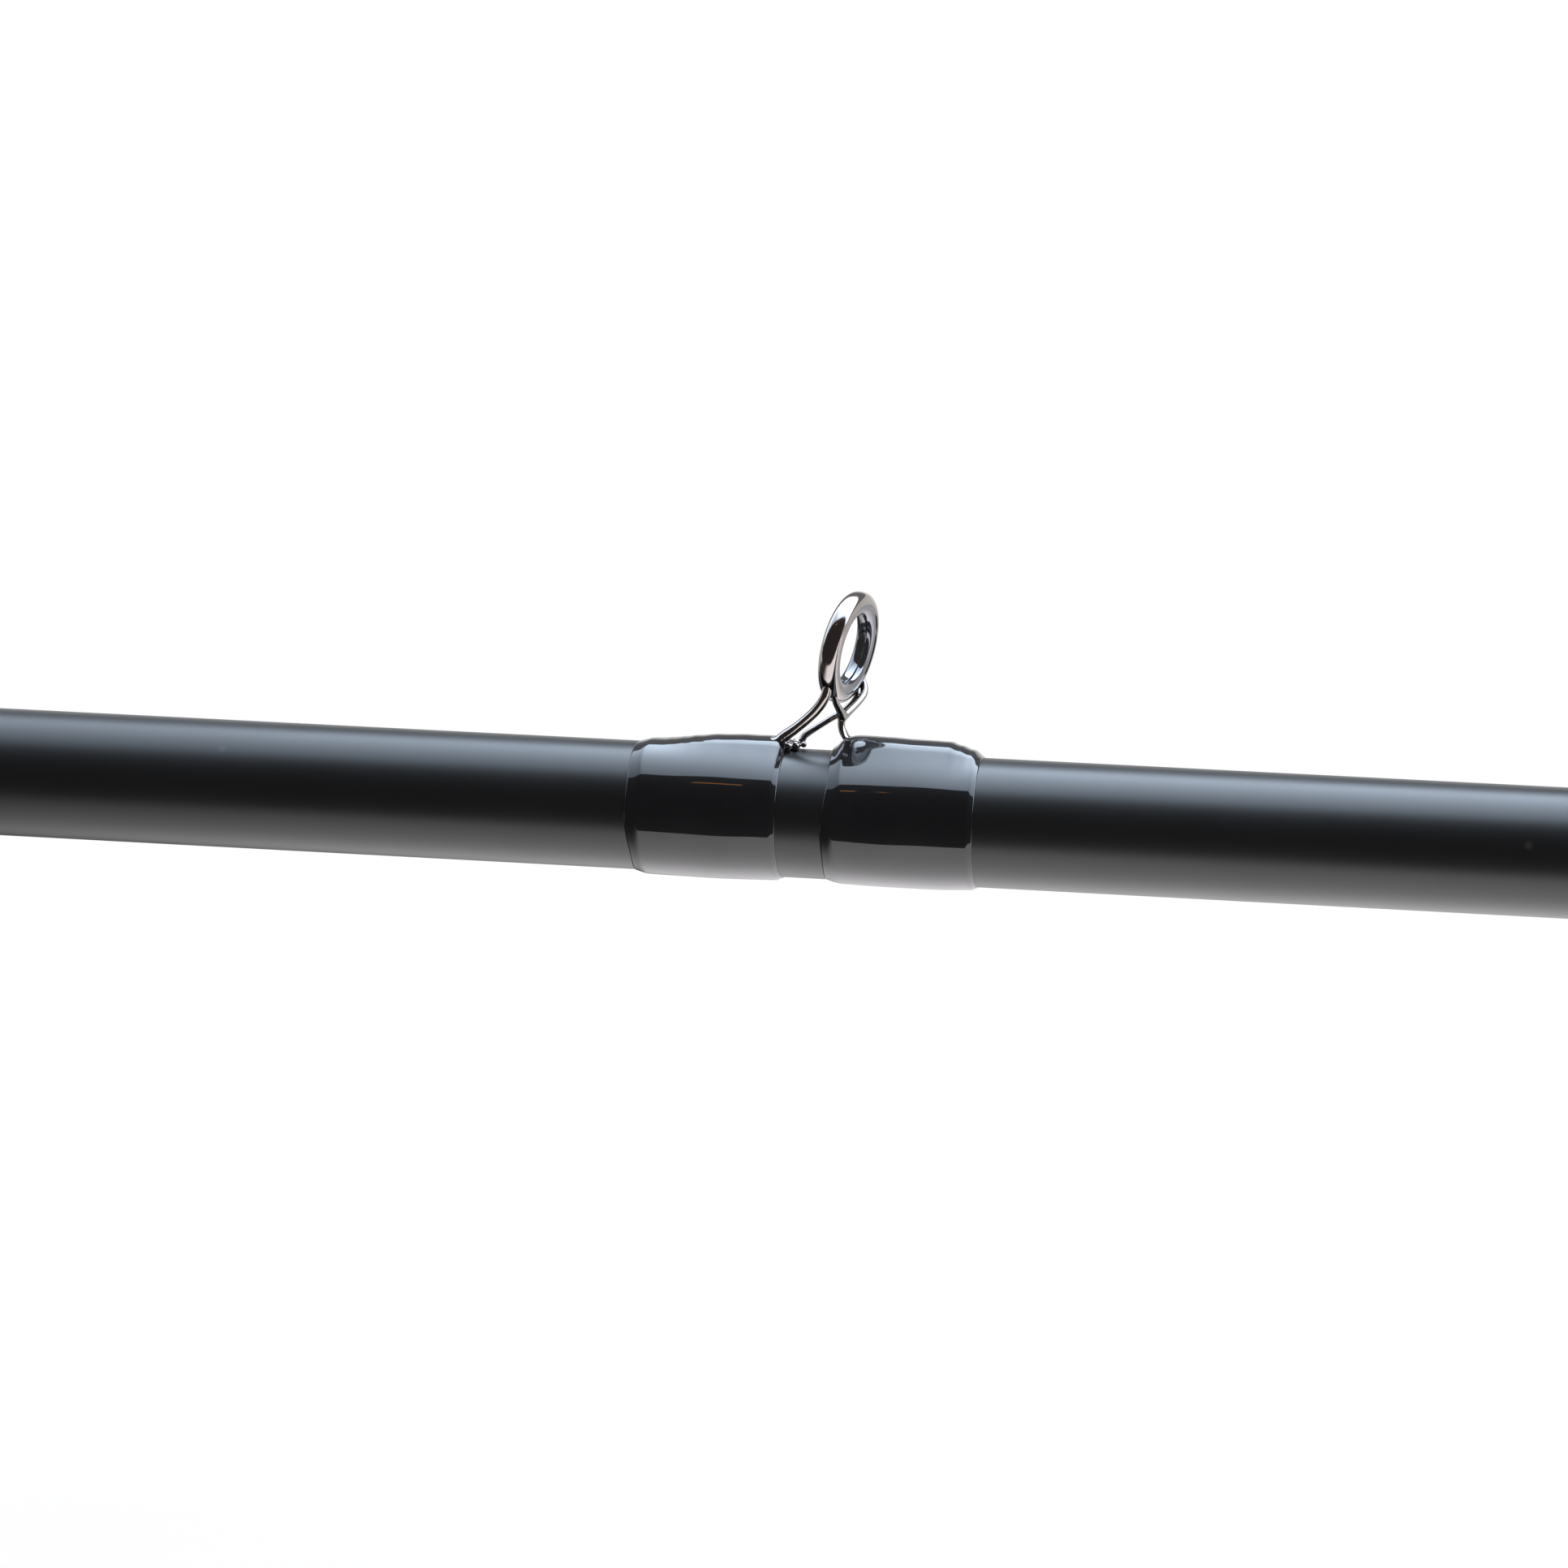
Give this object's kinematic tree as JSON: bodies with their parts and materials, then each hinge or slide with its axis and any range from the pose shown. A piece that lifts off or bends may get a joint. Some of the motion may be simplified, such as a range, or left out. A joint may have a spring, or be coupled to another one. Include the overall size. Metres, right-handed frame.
{
  "type": "spinning rod",
  "caption": "Two-piece spinning rod: tapered carbon blank, double-foot ring guides under glossy thread wraps, foam grips, screw-locked reel seat and folding hook keeper.",
  "frame": {"origin": "on the rod's axis, at the middle of the reel seat, where the hand holds the rod", "axes": "+X along the rod towards the tip, +Z towards the side that carries the guides and the reel foot's bed"},
  "size_m": [2.128, 0.03, 0.0543],
  "materials": {
    "satin_carbon": "satin, unpainted carbon blank with a fine spiral tape texture",
    "epoxy_thread": "black thread under clear high-gloss epoxy",
    "polished_steel": "polished stainless steel wire and stampings",
    "polished_ring": "polished hard ring",
    "grey_aluminium": "anodised, fine turned lines",
    "black_graphite": "fine-grained moulding",
    "black_foam": "closed-cell grip foam, sanded",
    "black_rubber": "matt moulded",
    "arbor_cork": "plain cork"
  },
  "bodies": {
    "butt_section": {"butt_blank": "satin_carbon", "ferrule_spigot": "satin_carbon", "butt_ferrule_wrap": "epoxy_thread", "butt_cap": "black_rubber", "rear_grip": "black_foam", "rear_check": "grey_aluminium", "reel_seat_body": "black_graphite", "seat_arbor_rear": "arbor_cork", "seat_arbor_middle": "arbor_cork", "seat_arbor_front": "arbor_cork", "fixed_hood": "polished_steel", "fixed_hood_liner": "black_graphite", "front_check": "grey_aluminium", "fore_grip": "black_foam", "fore_check": "grey_aluminium", "handle_wrap": "epoxy_thread", "keeper_base": "polished_steel", "keeper_rear_wrap": "epoxy_thread", "keeper_front_wrap": "epoxy_thread", "guide_1_frame": "polished_steel", "guide_1_ring": "polished_ring", "guide_1_butt_wrap": "epoxy_thread", "guide_1_tip_wrap": "epoxy_thread"},
    "tip_section": {"tip_blank": "satin_carbon", "tip_ferrule_wrap": "epoxy_thread", "guide_2_frame": "polished_steel", "guide_2_ring": "polished_ring", "guide_2_butt_wrap": "epoxy_thread", "guide_2_tip_wrap": "epoxy_thread", "guide_3_frame": "polished_steel", "guide_3_ring": "polished_ring", "guide_3_butt_wrap": "epoxy_thread", "guide_3_tip_wrap": "epoxy_thread", "guide_4_frame": "polished_steel", "guide_4_ring": "polished_ring", "guide_4_butt_wrap": "epoxy_thread", "guide_4_tip_wrap": "epoxy_thread", "guide_5_frame": "polished_steel", "guide_5_ring": "polished_ring", "guide_5_butt_wrap": "epoxy_thread", "guide_5_tip_wrap": "epoxy_thread", "guide_6_frame": "polished_steel", "guide_6_ring": "polished_ring", "guide_6_butt_wrap": "epoxy_thread", "guide_6_tip_wrap": "epoxy_thread", "guide_7_frame": "polished_steel", "guide_7_ring": "polished_ring", "guide_7_butt_wrap": "epoxy_thread", "guide_7_tip_wrap": "epoxy_thread", "tip_top_frame": "polished_steel", "tip_top_ring": "polished_ring", "tip_top_wrap": "epoxy_thread"},
    "sliding_hood": {"sliding_hood": "polished_steel", "sliding_hood_liner": "black_graphite"},
    "lock_nut": {"lock_nut": "grey_aluminium"},
    "keeper_loop": {"keeper_loop": "polished_steel"}
  },
  "joints": [
    {"name": "ferrule_slide", "type": "slide", "parent": "butt_section", "child": "tip_section", "axis": [1, 0, 0], "range_m": [0, 0.075]},
    {"name": "hood_slide", "type": "slide", "parent": "butt_section", "child": "sliding_hood", "axis": [1, 0, 0], "range_m": [-0.014, 0.008]},
    {"name": "nut_turn", "type": "hinge", "parent": "sliding_hood", "child": "lock_nut", "pos_m": [-0.037, 0, 0], "axis": [1, 0, 0], "range_deg": [-2516, 1436]},
    {"name": "keeper_fold", "type": "hinge", "parent": "butt_section", "child": "keeper_loop", "pos_m": [0.2029, 0, 0.00757], "axis": [0, -1, 0], "range_deg": [0, 170]}
  ],
  "couplings": [
    {"joint": "hood_slide", "follows": "nut_turn", "m_per_rad": 0.00031831}
  ]
}
